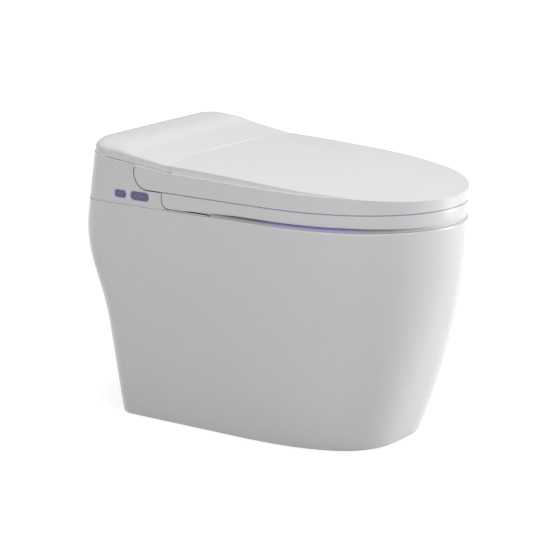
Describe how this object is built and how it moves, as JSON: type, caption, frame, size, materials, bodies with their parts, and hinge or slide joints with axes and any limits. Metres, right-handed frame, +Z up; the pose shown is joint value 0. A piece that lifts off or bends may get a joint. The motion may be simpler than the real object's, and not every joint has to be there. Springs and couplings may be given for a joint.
{
  "type": "smart toilet",
  "caption": "Floor-standing tankless smart toilet with a closed ceramic skirt, a soft-close lid and heated seat, side push buttons, and a sliding wash nozzle.",
  "frame": {"origin": "on the floor, at the middle of the overall length and width", "axes": "+Z up; the front of the bowl points to -Y; the side with the two buttons is -X"},
  "size_m": [0.392, 0.6879, 0.5101],
  "materials": {
    "pan_glaze": "glossy white glaze",
    "unit_white": "glossy white ABS",
    "lid_white": "glossy white thermoset",
    "seat_white": "glossy white thermoset",
    "tray_white": "satin white plastic",
    "light_violet": "translucent, lit from behind",
    "button_violet": "dark translucent, lit from behind",
    "ring_violet": "pale translucent, lit from behind",
    "pad_grey": "soft grey rubber",
    "seal_black": "black rubber",
    "pin_steel": "ground steel",
    "damper_black": "moulded black plastic",
    "foil_silver": "thin foil",
    "nozzle_steel": "polished tube",
    "nozzle_white": "glossy white plastic",
    "motor_steel": "zinc-plated can",
    "gear_cream": "natural acetal",
    "brass": "turned brass",
    "tank_grey": "blow-moulded polyethylene",
    "pump_black": "moulded black plastic",
    "hose_grey": "silicone hose",
    "board_green": "coated circuit board",
    "heater_white": "glass-filled plastic",
    "carbon_black": "carbon granules in a frame"
  },
  "bodies": {
    "fixed": {"pan_skirt": "pan_glaze", "pan_deck": "pan_glaze", "pan_hollows": "pan_glaze", "pan_bowl": "pan_glaze", "pan_trapway": "pan_glaze", "floor_seal": "seal_black", "base_tray": "tray_white", "unit_shell": "unit_white", "top_cover": "unit_white", "deck_bolts": "pin_steel", "lid_dampers": "damper_black", "seat_dampers": "damper_black", "button_rings": "ring_violet", "switch_board": "board_green", "nozzle_sleeve": "nozzle_white", "nozzle_stepper": "motor_steel", "inlet_nipple": "brass", "inlet_valve": "pump_black", "flush_tank": "tank_grey", "flush_pump": "pump_black", "pump_hose": "hose_grey", "water_heater": "heater_white", "air_pump": "pump_black", "cable_gland": "damper_black", "control_board": "board_green", "power_supply": "pump_black", "dryer_casing": "tank_grey", "dryer_duct": "tank_grey", "deodoriser_casing": "tank_grey", "deodoriser_duct": "tank_grey", "carbon_filter": "carbon_black"},
    "lid": {"lid_shell": "lid_white", "lid_panel": "lid_white", "lid_pads": "pad_grey", "lid_pins": "pin_steel"},
    "seat": {"seat_shell": "seat_white", "seat_base": "seat_white", "seat_heater": "foil_silver", "seat_pads": "pad_grey", "seat_light": "light_violet", "seat_pins": "pin_steel"},
    "wash_button_cap": {"wash_button": "button_violet"},
    "flush_button_cap": {"flush_button": "button_violet"},
    "nozzle": {"nozzle_wand": "nozzle_steel", "nozzle_tip": "nozzle_white"},
    "nozzle_gear": {"nozzle_pinion": "gear_cream"},
    "dryer_fan": {"dryer_impeller": "gear_cream"},
    "deodoriser_fan": {"deodoriser_impeller": "gear_cream"}
  },
  "joints": [
    {"name": "lid_hinge", "type": "hinge", "parent": "fixed", "child": "lid", "pos_m": [0, 0.174, 0.4655], "axis": [-1, 0, 0], "range_deg": [0, 97]},
    {"name": "seat_hinge", "type": "hinge", "parent": "fixed", "child": "seat", "pos_m": [0, 0.118, 0.455], "axis": [-1, 0, 0], "range_deg": [0, 95]},
    {"name": "wash_button_press", "type": "slide", "parent": "fixed", "child": "wash_button_cap", "axis": [1, 0, 0], "range_m": [0, 0.0015], "stiffness_N_per_m": 400},
    {"name": "flush_button_press", "type": "slide", "parent": "fixed", "child": "flush_button_cap", "axis": [1, 0, 0], "range_m": [0, 0.0015], "stiffness_N_per_m": 400},
    {"name": "nozzle_slide", "type": "slide", "parent": "fixed", "child": "nozzle", "axis": [0, -0.9135, -0.4067], "range_m": [0, 0.1]},
    {"name": "nozzle_gear_turn", "type": "hinge", "parent": "fixed", "child": "nozzle_gear", "pos_m": [0.0195, 0.13242, 0.41556], "axis": [0, -0.4067, 0.9135], "range_deg": [0, 720]},
    {"name": "dryer_fan_spin", "type": "hinge", "parent": "fixed", "child": "dryer_fan", "pos_m": [0.066, 0.196, 0.4315], "axis": [0, 0, 1], "continuous": true},
    {"name": "deodoriser_fan_spin", "type": "hinge", "parent": "fixed", "child": "deodoriser_fan", "pos_m": [-0.062, 0.196, 0.4315], "axis": [0, 0, 1], "continuous": true}
  ],
  "couplings": [
    {"joint": "seat_hinge", "follows": "lid_hinge", "ratio": 0.97938},
    {"joint": "nozzle_gear_turn", "follows": "nozzle_slide", "rad_per_m": 125}
  ]
}
